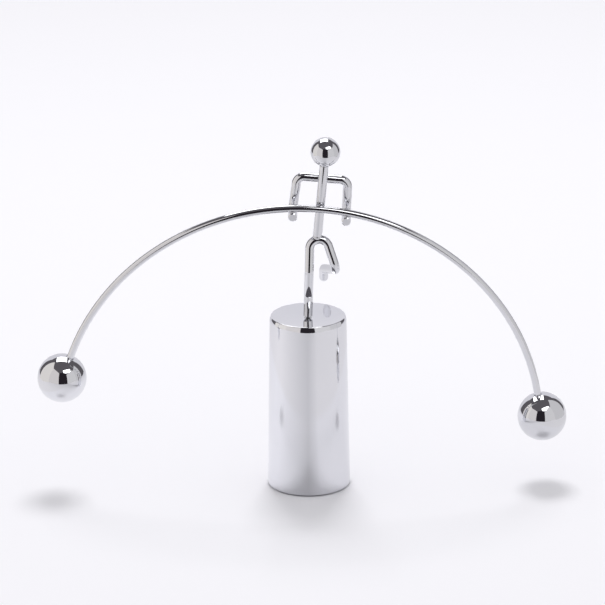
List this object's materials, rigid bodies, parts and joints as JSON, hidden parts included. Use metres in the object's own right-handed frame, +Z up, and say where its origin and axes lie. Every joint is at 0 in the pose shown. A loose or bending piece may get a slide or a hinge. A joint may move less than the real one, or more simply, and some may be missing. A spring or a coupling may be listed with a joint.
{
  "type": "balancing toy",
  "caption": "Chromed rod figure that balances on its foot on a dished pillar, steadied by a curved rod with a heavy ball at each end.",
  "frame": {"origin": "centre of the pad's underside, on the table under the middle of the pillar", "axes": "+X to the viewer's right, along the balance rod; +Y to the back; +Z up"},
  "size_m": [0.2373, 0.0444, 0.1645],
  "materials": {
    "chrome": "polished",
    "plated_base": "polished",
    "plated_braze": "satin",
    "hard_steel": "polished",
    "zinc_steel": "satin",
    "cast_iron": "matte",
    "black_cover": "matte",
    "foot_pad": "matte"
  },
  "bodies": {
    "base": {"base_shell": "plated_base", "ballast_ring": "cast_iron", "bottom_cover": "black_cover", "cover_screw": "zinc_steel", "screw_washer": "zinc_steel", "foot_pad": "foot_pad"},
    "seat": {"pivot_seat": "hard_steel"},
    "pivot": {"pivot_ball": "hard_steel"},
    "figure": {"leg_rod": "chrome", "spine_rod": "chrome", "arm_rod": "chrome", "head_ball": "chrome", "balance_rod": "chrome", "left_ball": "chrome", "right_ball": "chrome", "hip_braze": "plated_braze", "shoulder_braze": "plated_braze", "neck_braze": "plated_braze", "spine_hold_braze": "plated_braze", "left_hand_braze": "plated_braze", "right_hand_braze": "plated_braze"}
  },
  "joints": [
    {"name": "turn", "type": "hinge", "parent": "base", "child": "seat", "pos_m": [0, 0, 0.08015], "axis": [0, 0, 1], "continuous": true},
    {"name": "rock", "type": "hinge", "parent": "seat", "child": "pivot", "pos_m": [0, 0, 0.08015], "axis": [0, 1, 0], "range_deg": [-21, 10]},
    {"name": "nod", "type": "hinge", "parent": "pivot", "child": "figure", "pos_m": [0, 0, 0.08015], "axis": [1, 0, 0], "range_deg": [-17, 12]}
  ]
}
